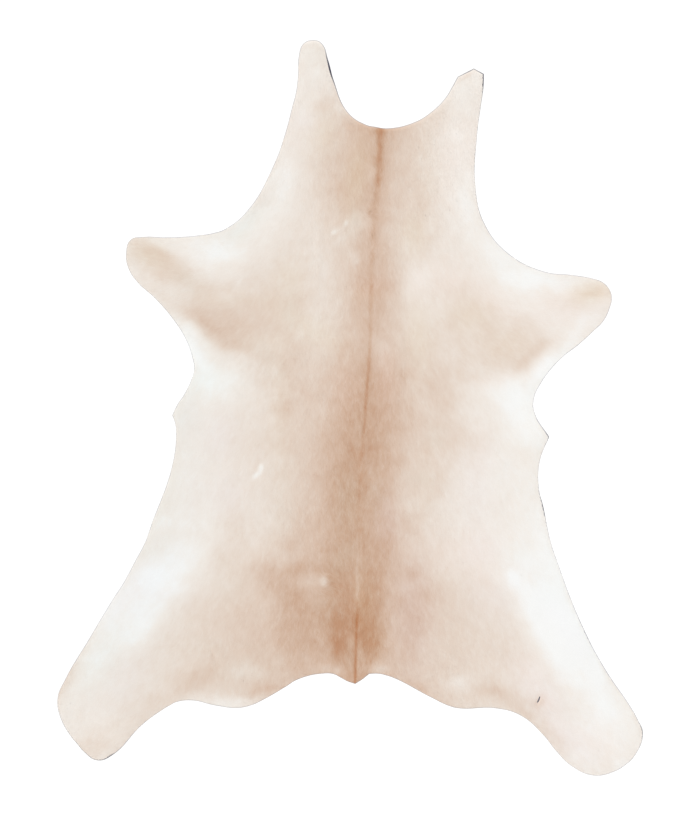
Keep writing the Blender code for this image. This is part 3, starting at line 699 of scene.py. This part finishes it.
def skin_charts(corners, faces, inset):
    """Heights of the skin's underside and of its upper side."""
    x, y = chart_grid()
    level = lift_chart(corners, faces) + REST_LEVEL
    level += patches_at(SWELLS + CREASES, x, y) + layered_noise(UNEVEN, x, y)
    under = np.maximum(level, 0.0)
    thickness = SKIN_THICKNESS * (1 - EDGE_THINNER * bell(inset / THIN_REACH))
    return under, under + thickness + PRESSED * np.minimum(level, 0.0)


# ---------------------------------------------------------------- the coat's colouring
def along_back(name, y):
    """One of the back's measures, at each distance along it."""
    rows = sorted(BACK.values())
    column = BACK_MEASURES.index(name)
    return np.interp(y, [row[0] for row in rows], [row[column] for row in rows])


def back_at(x, y):
    """How much darker the back's saddle, band and line make the coat."""
    at = {name: along_back(name, y) for name in BACK_MEASURES}
    off = x - at["x"]
    saddle_reach = np.where(off < 0, at["saddle_left"], at["saddle_right"])
    band_reach = np.where(off < 0, at["band_left"], at["band_right"])
    wide = at["saddle"] * bell(off / saddle_reach) + at["band"] * bell(off / band_reach)
    return wide + at["line"] * bell(off / at["line_width"])


def coat_chart(x, y):
    """How dark the coat is at each place: 0 is white, 1 is brown."""
    off_x, off_y = x + layered_noise(WOBBLE_X, x, y), y + layered_noise(WOBBLE_Y, x, y)
    depth = PLAIN + back_at(x, y) + in_regions(CLOUDS, off_x, off_y) + patches_at(MARKS.values(), x, y)
    cloudiness = layered_noise(MOTTLE, x, y / MOTTLE_STRETCH)
    return depth + (MOTTLE_PLAIN + MOTTLE_DARK * np.clip(depth, 0, 1)) * cloudiness


# ---------------------------------------------------------------- the skin's mesh
def fill_mesh(name, places, corners, starts):
    """A mesh from points in millimetres, its faces' corners in a row and where each face starts in it."""
    mesh = bpy.data.meshes.new(name)
    mesh.vertices.add(len(places))
    mesh.vertices.foreach_set("co", (places * MM).astype(np.float32).ravel())
    mesh.loops.add(len(corners))
    mesh.loops.foreach_set("vertex_index", corners.astype(np.int32))
    mesh.polygons.add(len(starts))
    mesh.polygons.foreach_set("loop_start", starts.astype(np.int32))
    mesh.update(calc_edges=True)
    mesh.polygons.foreach_set("use_smooth", np.ones(len(starts), bool))
    return mesh


def placed(name, data):
    """A new object in the scene."""
    thing = bpy.data.objects.new(name, data)
    bpy.context.collection.objects.link(thing)
    return thing


def note_on_points(mesh, name, values):
    """Keep three values for each point, under this name, for the finish to read."""
    noted = mesh.attributes.new(name, "FLOAT_VECTOR", "POINT")
    noted.data.foreach_set("vector", values.astype(np.float32).ravel())


def note_map(mesh, places):
    """Keep the flat map that the finish can be laid out on: one place for each corner of each face."""
    flat_map = mesh.uv_layers.new(name="OFBake")
    flat_map.uv.foreach_set("vector", places.astype(np.float32).ravel())


def painted_rim_shadow(x, y):
    """How dark the painted shadow on the bare rim is: 0 is none, 1 is almost black."""
    return np.minimum(patches_at(RIM_SHADOWS.values(), x, y), 1.0)


def rim_reach(x, y):
    """How far the bare rim runs in from the cut edge."""
    return EDGE_WORN + EDGE_SLANT + EDGE_BROADER * painted_rim_shadow(x, y) ** 2


def skin_triangles(edges, free):
    """The skin's triangles, seen from above, with the slit left open."""
    row_step = SKIN_STEP * math.sqrt(3) / 2
    x, y = np.meshgrid(np.arange(LOW[0], HIGH[0], SKIN_STEP), np.arange(LOW[1], HIGH[1], row_step))
    x[1::2] += SKIN_STEP / 2
    x, y = x.ravel(), y.ravel()
    inside = read_chart(free, x, y) > RIM_CLEAR
    points = np.concatenate([*edges, np.stack([x[inside], y[inside]], axis=1)])
    ends = np.cumsum([0] + [len(edge) for edge in edges])
    rims = [list(range(start, end)) for start, end in zip(ends, ends[1:])]
    inside_with_holes = 2
    weld = 1e-6
    spots = [Vector(point) for point in points * MM]
    flat, _, faces, *_ = delaunay_2d_cdt(spots, [], rims, inside_with_holes, weld)
    places = np.array([tuple(point) for point in flat]) / MM
    faces = np.array(faces)
    used, faces = np.unique(faces, return_inverse=True)
    places, faces = places[used], faces.reshape(-1, 3)
    a, b, c = (places[faces[:, k]] for k in range(3))
    turned = (b[:, 0] - a[:, 0]) * (c[:, 1] - a[:, 1]) < (b[:, 1] - a[:, 1]) * (c[:, 0] - a[:, 0])
    faces[turned] = faces[turned][:, ::-1]
    return places, faces


def rim_of(faces):
    """The open edges of these triangles, end to end, as rows of start and end."""
    return np.concatenate([np.column_stack([loop, np.roll(loop, -1)]) for loop in edge_loops(faces)])


def slanted_rim(places, rim, slit):
    """Where the skin's points lie above and below, as rim and slit slant, and how dark the painted shadow on
    the rim is; in the slit it is painted fully dark.
    """
    start, end = rim.T
    way = places[end] - places[start]
    outward = np.zeros(places.shape)
    for corner in (start, end):
        np.add.at(outward, corner, np.column_stack([way[:, 1], -way[:, 0]]))
    outward /= np.maximum(np.hypot(*outward.T), 1e-9)[:, None]
    middle = slit.mean(axis=0)
    reach = np.hypot(*(slit - middle).T)
    along = (slit[reach.argmax()] - middle) / reach.max()
    across = np.array([-along[1], along[0]])
    off = places - middle
    at_slit = (np.hypot(*off.T) < SLIT_REACH * reach.max()) & outward.any(axis=1)
    slant = np.where(at_slit, SLIT_RIM, rim_reach(*places.T))
    narrowed = places - (1 - SLIT_NARROWS) * (off @ across)[:, None] * across
    below = np.where(at_slit[:, None], narrowed, places - outward * EDGE_WORN)
    return places - outward * slant[:, None], below, np.where(at_slit, 1.0, painted_rim_shadow(*places.T))


def mark_sharp(mesh, edges):
    """Give the mesh a hard turn along these edges, which are rows of start and end."""
    ends = np.empty(2 * len(mesh.edges), np.int32)
    mesh.edges.foreach_get("vertices", ends)
    numbers = []
    for pairs in (ends.reshape(-1, 2), edges):
        low, high = np.sort(pairs, axis=1).astype(np.int64).T
        numbers.append(low * len(mesh.vertices) + high)
    mesh.attributes.new("sharp_edge", "BOOLEAN", "EDGE").data.foreach_set("value", np.isin(*numbers))


def skin_map(places, faces, rim):
    """The skin's flat map: hair side and underside next to each other, and the cut edge in a strip."""
    share = (places - LOW[:2]) / (HIGH - LOW)[:2] * (0.5, EDGE_STRIP)
    upper = share[faces.ravel()]
    lower = share[faces[:, ::-1].ravel()] + (0.5, 0)
    along = np.arange(len(rim)) / len(rim)
    after = (np.arange(len(rim)) + 1) / len(rim)
    height = 1 - EDGE_STRIP
    foot, head = (np.full(len(rim), EDGE_STRIP + part * height) for part in (STRIP_FOOT, STRIP_HEAD))
    strip = np.stack([along, foot, after, foot, after, head, along, head], axis=1)
    return np.concatenate([upper, lower, strip.reshape(-1, 2)])


def build_skin(edges, free, under, upper, coat):
    """The skin as one closed mesh: its hair side, its underside and the slanted cut edge between them."""
    places, faces = skin_triangles(edges, free)
    count = len(places)
    rim = rim_of(faces)
    above, below, dark = slanted_rim(places, rim, edges[-1])
    top = np.column_stack([above, read_chart(upper, *above.T)])
    bottom = np.column_stack([below, read_chart(under, *below.T)])
    start, end = rim.T
    walls = np.column_stack([start + count, end + count, end, start])
    corners = np.concatenate([faces.ravel(), faces[:, ::-1].ravel() + count, walls.ravel()])
    sizes = np.repeat([3, 4], [2 * len(faces), len(walls)])
    starts = np.cumsum(sizes) - sizes
    mesh = fill_mesh("skin", np.concatenate([top, bottom]), corners, starts)
    colour = np.column_stack([read_chart(chart, *above.T) for chart in coat])
    note_on_points(mesh, "coat", np.concatenate([colour, colour]))
    # the rim's painted shadow, for the cut edge's finish to read
    note_on_points(mesh, "rim", np.repeat(np.concatenate([dark, dark])[:, None], 3, axis=1))
    finish = np.repeat([HAIR_SIDE, SUEDE_SIDE, CUT_SIDE], [len(faces), len(faces), len(walls)])
    mesh.polygons.foreach_set("material_index", finish.astype(np.int32))
    mark_sharp(mesh, np.concatenate([rim, rim + count]))
    note_map(mesh, skin_map(places, faces, rim))
    return placed("skin", mesh)


# ---------------------------------------------------------------- the hair's mesh
def smooth_step(value, start, end):
    share = np.clip((value - start) / (end - start), 0, 1)
    return share * share * (3 - 2 * share)


def hair_heading(x, y):
    """Which way the hair lies at each place, in radians."""
    east = north = 0.0
    for place_x, place_y, degrees in HAIR_LAY.values():
        weight = ((x - place_x) ** 2 + (y - place_y) ** 2 + LAY_BLEND**2) ** -1.5
        east = east + weight * math.cos(math.radians(degrees))
        north = north + weight * math.sin(math.radians(degrees))
    heading = np.arctan2(north, east)
    off = x - along_back("x", y)
    heading -= math.radians(LEAN) * np.tanh(off / LEAN_TURN) * bell(off / LEAN_REACH)
    for place_x, place_y, reach, degrees in WHORLS:
        away = ((x - place_x) ** 2 + (y - place_y) ** 2) / reach**2
        heading += math.radians(degrees) * np.exp(-away)
    return heading + math.radians(TUFT_STRAY) * value_noise(x, y, TUFT_SIZE, TUFT_SEED)


def streaks(x, y, heading):
    """Chance values from about -1 to 1, drawn out along the hair."""
    total = 0.0
    for width, length, share, seed in STREAKS:
        for step in length * np.linspace(-0.5, 0.5, STREAK_STEPS):
            along_x, along_y = x + step * np.cos(heading), y + step * np.sin(heading)
            total = total + share * value_noise(along_x, along_y, width, seed) / STREAK_STEPS
    return total


def planted_locks(free):
    """Where each lock grows, its heading, length and width, its bend, and a chance number of its own."""
    draw = np.random.default_rng(SEED)
    x, y = np.meshgrid(np.arange(LOW[0], HIGH[0], LOCK_SPACING), np.arange(LOW[1], HIGH[1], LOCK_SPACING))
    x = x.ravel() + LOCK_SPACING * draw.uniform(-0.5, 0.5, x.size)
    y = y.ravel() + LOCK_SPACING * draw.uniform(-0.5, 0.5, y.size)
    grows = read_chart(free, x, y) > ROOT_CLEAR
    x, y = x[grows], y[grows]
    heading = hair_heading(x, y) + math.radians(STRAY) * draw.normal(size=len(x))
    legs = 1 - (1 - LEG_LENGTH) * smooth_step(np.abs(x), LEG_FROM, LEG_TO)
    length = LOCK_LENGTH * legs * (1 + patches_at([TAIL], x, y)) * draw.uniform(*LOCK_RANGE, len(x))
    width = LOCK_WIDTH * draw.uniform(*LOCK_RANGE, len(x))
    bend = math.radians(CURVE) * draw.normal(size=len(x))
    number = draw.uniform(size=len(x))
    fitted = np.zeros(len(x))
    for trim in reversed(TRIMS):
        clear = np.ones(len(x), bool)
        for share in TRIM_TESTS:
            reach = length * trim * share
            at_x, at_y = x + reach * np.cos(heading), y + reach * np.sin(heading)
            clear &= read_chart(free, at_x, at_y) > -OVERHANG
        fitted = np.where(clear, trim, fitted)
    locks = np.rec.fromarrays(
        [x, y, heading, length * fitted, width, bend, number], names="x,y,heading,length,width,bend,number"
    )
    return locks[fitted > 0]


def lock_points(locks, upper):
    """The five corners of every lock: two at its root, two at its middle and one at its tip."""
    x, y = locks.x, locks.y
    heading = locks.heading
    gone = 0.0
    points = []
    thick = 1 + LOCK_UNEVEN * (2 * locks.number - 1)
    for place, (share, broad, rise) in LOCK_SHAPE.items():
        x = x + (share - gone) * locks.length * np.cos(heading)
        y = y + (share - gone) * locks.length * np.sin(heading)
        gone = share
        half = broad * locks.width / 2
        out_x, out_y = -half * np.sin(heading), half * np.cos(heading)
        z = read_chart(upper, x, y) + (rise * thick if rise > 0 else rise)
        left = np.column_stack([x + out_x, y + out_y, z])
        right = np.column_stack([x - out_x, y - out_y, z])
        if place == "root":
            points += [left, right]
        elif place == "middle":
            points += [right, left]
            heading = heading + locks.bend
        else:
            points.append(left)
    return np.stack(points, axis=1)


# A lock is a four-sided face and a triangle on five corners, which lie this far across it and along it.
LOCK_FACES, LOCK_STARTS = np.array([0, 1, 2, 3, 3, 2, 4]), np.array([0, 4])
LOCK_ACROSS = np.array([-1.0, 1.0, 1.0, -1.0, 0.0])
LOCK_ALONG = np.repeat([share for share, _, _ in LOCK_SHAPE.values()], [2, 2, 1])
LOCK_CORNERS = len(LOCK_ACROSS)


def build_hair(name, locks, upper, coat, slopes):
    """One piece of the coat: its locks in one mesh, each with its colouring, strands and rounded shading."""
    points = lock_points(locks, upper)
    count = len(locks)
    flat_points = points.reshape(-1, 3)
    first = np.arange(count)[:, None]
    corners = (LOCK_CORNERS * first + LOCK_FACES).ravel()
    mesh = fill_mesh(name, flat_points, corners, (len(LOCK_FACES) * first + LOCK_STARTS).ravel())
    x, y = flat_points[:, 0], flat_points[:, 1]
    colour = np.column_stack([read_chart(chart, x, y) for chart in coat])
    own = np.random.default_rng(SEED + count).normal(size=count)
    chance = LOCK_CHANCE * own + STREAK_CHANCE * streaks(locks.x, locks.y, locks.heading)
    depth = np.clip(colour[:, 0], 0, 1)
    colour[:, 0] += np.repeat(chance, LOCK_CORNERS) * (CHANCE_PLAIN + CHANCE_DARK * depth)
    note_on_points(mesh, "coat", colour)
    number = np.repeat(locks.number, LOCK_CORNERS)
    across, along = np.tile(LOCK_ACROSS, count), np.tile(LOCK_ALONG, count)
    note_on_points(mesh, "strand", np.column_stack([across, along, number]))
    low, high = flat_points[:, :2].min(axis=0), flat_points[:, :2].max(axis=0)
    note_map(mesh, ((flat_points[:, :2] - low) / (high - low))[corners])
    side = across * LOCK_ROUND
    heading = np.repeat(locks.heading, LOCK_CORNERS)
    tilt = np.column_stack([side * np.sin(heading), -side * np.cos(heading), np.ones(len(side))])
    tilt[:, 0] -= read_chart(slopes[0], x, y)
    tilt[:, 1] -= read_chart(slopes[1], x, y)
    tilt /= np.linalg.norm(tilt, axis=1)[:, None]
    mesh.normals_split_custom_set_from_vertices(tilt.tolist())
    return placed(name, mesh)


# ---------------------------------------------------------------- finishes
def add_node(tree, kind, values=None, **settings):
    """A node with these settings, its inputs set to numbers or joined to other nodes' outputs."""
    node = tree.nodes.new(kind)
    for name, value in settings.items():
        setattr(node, name, value)
    for name, value in (values or {}).items():
        if isinstance(value, bpy.types.NodeSocket):
            tree.links.new(value, node.inputs[name])
        else:
            node.inputs[name].default_value = value
    return node


def sum_of(tree, operation, *values):
    """One step of arithmetic on sockets and numbers."""
    return add_node(tree, "ShaderNodeMath", dict(enumerate(values)), operation=operation).outputs[0]


def new_group(name, inputs, outputs):
    """A node group with these named inputs and outputs, the inputs' values, and the outputs' sockets."""
    group = bpy.data.node_groups.new(name, "ShaderNodeTree")
    for in_out, sockets in (("INPUT", inputs), ("OUTPUT", outputs)):
        for socket, kind in sockets.items():
            group.interface.new_socket(socket, in_out=in_out, socket_type="NodeSocket" + kind)
    return group, group.nodes.new("NodeGroupInput").outputs, group.nodes.new("NodeGroupOutput").inputs


def light_of(tone):
    """A tone's red, green and blue in light, from its display values out of 255."""
    share = np.array(tone) / 255
    return np.where(share > 0.04045, ((share + 0.055) / 1.055) ** 2.4, share / 12.92)


def coat_colour_group():
    """From how dark the coat is, and its tinge, to the hair's colour."""
    group, given, made = new_group("coat colour", {"Coat": "Vector", "Shade": "Float"}, {"Color": "Color"})
    coat = add_node(group, "ShaderNodeSeparateXYZ", {"Vector": given["Coat"]}).outputs
    deepest = max(depth for depth, _ in COAT_TONES.values())
    ramp = add_node(group, "ShaderNodeValToRGB", {"Fac": sum_of(group, "DIVIDE", coat["X"], deepest)})
    stops = ramp.color_ramp.elements
    stops.remove(stops[1])
    for number, (depth, tone) in enumerate(COAT_TONES.values()):
        stop = stops.new(depth / deepest) if number else stops[0]
        stop.color = (*((light_of(tone) - COAT_GLANCE) * COAT_SHARE), 1)
    tone = add_node(group, "ShaderNodeSeparateColor", {"Color": ramp.outputs["Color"]}).outputs
    red = sum_of(group, "MULTIPLY_ADD", tone["Red"], coat["Y"], tone["Red"])
    blue = sum_of(group, "MULTIPLY_ADD", tone["Blue"], coat["Z"], tone["Blue"])
    parts = {
        "Red": sum_of(group, "MULTIPLY", red, given["Shade"]),
        "Green": sum_of(group, "MULTIPLY", tone["Green"], given["Shade"]),
        "Blue": sum_of(group, "MULTIPLY", blue, given["Shade"]),
    }
    mixed = add_node(group, "ShaderNodeCombineColor", parts)
    group.links.new(mixed.outputs["Color"], made["Color"])
    return group


def strands_group():
    """Fine strands along a lock: their shade, and their height for the bump."""
    inputs = {"Strand": "Vector", "Contrast": "Float", "Root Shade": "Float"}
    group, given, made = new_group("strands", inputs, {"Shade": "Float", "Height": "Float"})
    strand = add_node(group, "ShaderNodeSeparateXYZ", {"Vector": given["Strand"]}).outputs
    scaled = {axis: sum_of(group, "MULTIPLY", strand[axis], scale) for axis, scale in STRAND_SCALES.items()}
    place = add_node(group, "ShaderNodeCombineXYZ", scaled)
    chance = add_node(group, "ShaderNodeTexNoise", {"Vector": place.outputs[0], "Scale": 1.0, "Detail": 1.0})
    height = chance.outputs["Fac"]
    centred = sum_of(group, "SUBTRACT", height, 0.5)
    fine = sum_of(group, "MULTIPLY_ADD", centred, given["Contrast"], 1.0)
    from_tip = sum_of(group, "SUBTRACT", 1.0, strand["Y"])
    root = sum_of(group, "MULTIPLY", sum_of(group, "POWER", from_tip, 2.0), given["Root Shade"])
    group.links.new(sum_of(group, "SUBTRACT", fine, root), made["Shade"])
    group.links.new(height, made["Height"])
    return group


def leather_group():
    """Cloudy nap of bare leather: a mask from 0 to 1, and fine height for the bump."""
    inputs = {"Cloud Scale": "Float", "Fibre Scale": "Float"}
    group, given, made = new_group("leather nap", inputs, {"Mask": "Float", "Height": "Float"})
    place = add_node(group, "ShaderNodeTexCoord").outputs["Object"]
    clouds = {"Vector": place, "Scale": given["Cloud Scale"], "Detail": 5.0}
    fibres = {"Vector": place, "Scale": given["Fibre Scale"], "Detail": 3.0, "Distortion": 0.6}
    cloud, fibre = (add_node(group, "ShaderNodeTexNoise", kind).outputs["Fac"] for kind in (clouds, fibres))
    cloudy = sum_of(group, "MULTIPLY", cloud, 1 - FIBRE_SHARE)
    group.links.new(sum_of(group, "MULTIPLY_ADD", fibre, FIBRE_SHARE, cloudy), made["Mask"])
    group.links.new(fibre, made["Height"])
    return group


def new_material(name, roughness, sheen=0.0):
    """A material and its tree and shader, with what is the same all over it set on the shader."""
    material = bpy.data.materials.new(name)
    material.use_nodes = True
    shader = material.node_tree.nodes["Principled BSDF"]
    shader.inputs["Roughness"].default_value = roughness
    shader.inputs["Sheen Weight"].default_value = sheen
    shader.inputs["Sheen Roughness"].default_value = SHEEN_ROUGHNESS
    shader.inputs["Specular IOR Level"].default_value = GLOSS
    return material, material.node_tree, shader


def place_group(tree, group, values):
    return add_node(tree, "ShaderNodeGroup", values, node_tree=group).outputs


def noted(tree, name):
    """What was kept under this name for each point."""
    return add_node(tree, "ShaderNodeAttribute", attribute_name=name).outputs["Vector"]


def mixed_colour(tree, share, first, second):
    values = {"Fac": share, "Color1": first, "Color2": second}
    return add_node(tree, "ShaderNodeMixRGB", values).outputs["Color"]


def bumped(tree, shader, height, strength, distance):
    bump = add_node(tree, "ShaderNodeBump", {"Height": height, "Strength": strength, "Distance": distance})
    tree.links.new(bump.outputs["Normal"], shader.inputs["Normal"])


def hair_material(groups):
    material, tree, shader = new_material("short hair", HAIR_ROUGHNESS, HAIR_SHEEN)
    values = {"Strand": noted(tree, "strand"), "Contrast": STRAND_CONTRAST, "Root Shade": ROOT_SHADE}
    strands = place_group(tree, groups["strands"], values)
    colour = place_group(tree, groups["coat"], {"Coat": noted(tree, "coat"), "Shade": strands["Shade"]})
    tree.links.new(colour["Color"], shader.inputs["Base Color"])
    bumped(tree, shader, strands["Height"], *HAIR_BUMP)
    return material


def skin_under_hair_material(groups):
    """The skin between the roots, in the colour of the hair that grows from it."""
    material, tree, shader = new_material("skin under the hair", SKIN_ROUGHNESS)
    nap = place_group(tree, groups["leather"], SKIN_NAP)
    shade = sum_of(tree, "MULTIPLY_ADD", nap["Mask"], SKIN_MOTTLING, SKIN_SHADE)
    colour = place_group(tree, groups["coat"], {"Coat": noted(tree, "coat"), "Shade": shade})
    tree.links.new(colour["Color"], shader.inputs["Base Color"])
    bumped(tree, shader, nap["Height"], *SKIN_BUMP)
    return material


def nap_colour(tree, groups, pale, deep, cloud_scale, fibre_scale):
    """Bare leather's colour, mottled between two tones, and its fine height."""
    nap = place_group(tree, groups["leather"], {"Cloud Scale": cloud_scale, "Fibre Scale": fibre_scale})
    ramp = add_node(tree, "ShaderNodeValToRGB", {"Fac": nap["Mask"]})
    for stop, place, tone in zip(ramp.color_ramp.elements, NAP_STOPS, (deep, pale)):
        stop.position = place
        stop.color = (*light_of(tone), 1)
    return ramp.outputs["Color"], nap["Height"]


def suede_material(groups):
    """The underside: the skin's napped inner side."""
    material, tree, shader = new_material("suede", LEATHER_ROUGHNESS, LEATHER_SHEEN)
    colour, height = nap_colour(tree, groups, *SUEDE)
    tree.links.new(colour, shader.inputs["Base Color"])
    bumped(tree, shader, height, *SUEDE_BUMP)
    return material


def cut_edge_material(groups):
    """The bare rim: greyish leather, tinted like the coat beside it, in tones dark enough to paint the thin
    shadow line along the edge, and darkened further by painted shadow in places.
    """
    material, tree, shader = new_material("cut edge", LEATHER_ROUGHNESS, LEATHER_SHEEN)
    leather, height = nap_colour(tree, groups, *CUT_LEATHER_AND_SHADE)
    coat = place_group(tree, groups["coat"], {"Coat": noted(tree, "coat"), "Shade": 1.0})["Color"]
    tinted = mixed_colour(tree, RIM_TINT, leather, coat)
    # painted shadow of the lifted edges and of the slit
    dark = add_node(tree, "ShaderNodeSeparateXYZ", {"Vector": noted(tree, "rim")}).outputs["X"]
    shadowed = mixed_colour(tree, dark, tinted, (*light_of(RIM_SHADOW_TONE), 1))
    tree.links.new(shadowed, shader.inputs["Base Color"])
    bumped(tree, shader, height, *CUT_BUMP)
    return material


# ---------------------------------------------------------------- the room
def build_floor():
    mesh = bpy.data.meshes.new("floor")
    half = FLOOR_SIZE / 2
    sides = ((-half, -half), (half, -half), (half, half), (-half, half))
    mesh.from_pydata([(x, y, FLOOR_LEVEL) for x, y in sides], [], [range(4)])
    material, _, shader = new_material("pale floor", FLOOR_ROUGHNESS)
    shader.inputs["Base Color"].default_value = (FLOOR_TONE, FLOOR_TONE, FLOOR_TONE, 1)
    shader.inputs["Emission Color"].default_value = (1, 1, 1, 1)
    shader.inputs["Emission Strength"].default_value = FLOOR_GLOW
    shader.inputs["Specular IOR Level"].default_value = 0.0
    mesh.materials.append(material)
    floor = placed("floor", mesh)


def build_lights():
    world = bpy.data.worlds.new("studio")
    world.use_nodes = True
    glow = world.node_tree.nodes["Background"].inputs
    glow["Color"].default_value = (1, 1, 1, 1)
    glow["Strength"].default_value = ROOM_LIGHT
    bpy.context.scene.world = world
    light = bpy.data.lights.new("softbox", "SUN")
    light.energy = SOFTBOX_LIGHT
    light.angle = math.radians(SOFTBOX_SPREAD)
    placed("softbox", light).rotation_euler = Vector(SOFTBOX_FROM).to_track_quat("Z", "Y").to_euler()
    bpy.context.scene.view_settings.view_transform = "Standard"


def build_camera():
    data = bpy.data.cameras.new("camera")
    data.sensor_fit = "VERTICAL"
    data.sensor_height = SENSOR_HEIGHT
    data.lens = SENSOR_HEIGHT * CAMERA_HEIGHT / VIEW_HEIGHT
    data.clip_end = VIEW_DEPTH
    camera = placed("camera", data)
    camera.location = (0, 0, CAMERA_HEIGHT)
    bpy.context.scene.camera = camera


def build_hide():
    corners, faces, loops = frame_underside()
    edges = [curved_edge(corners[loop][:, :2]) for loop in loops]
    inset = inset_chart(edges)
    under, upper = skin_charts(corners, faces, inset)
    x, y = chart_grid()
    free = inset - rim_reach(x, y)
    # painted shade along the edge
    edge_shade = EDGE_SHADE * bell(free / EDGE_SHADE_REACH)
    coat = (coat_chart(x, y) + edge_shade, in_regions(REDDER, x, y), in_regions(BLUER, x, y))
    groups = {"coat": coat_colour_group(), "strands": strands_group(), "leather": leather_group()}
    skin = build_skin(edges, free, under, upper, coat)
    for finish in (skin_under_hair_material, suede_material, cut_edge_material):
        skin.data.materials.append(finish(groups))
    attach(skin, "root")
    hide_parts("hide")
    locks = planted_locks(free)
    hair = hair_material(groups)
    slopes = np.gradient(upper, CHART_STEP)
    top = HIGH[1] + CHART_MARGIN
    for name, bottom in HAIR_PIECES.items():
        piece = build_hair(name, locks[(locks.y >= bottom) & (locks.y < top)], upper, coat, slopes)
        piece.data.materials.append(hair)
        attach(piece, "root")
        top = bottom


build_hide()
build_floor()
build_lights()
build_camera()
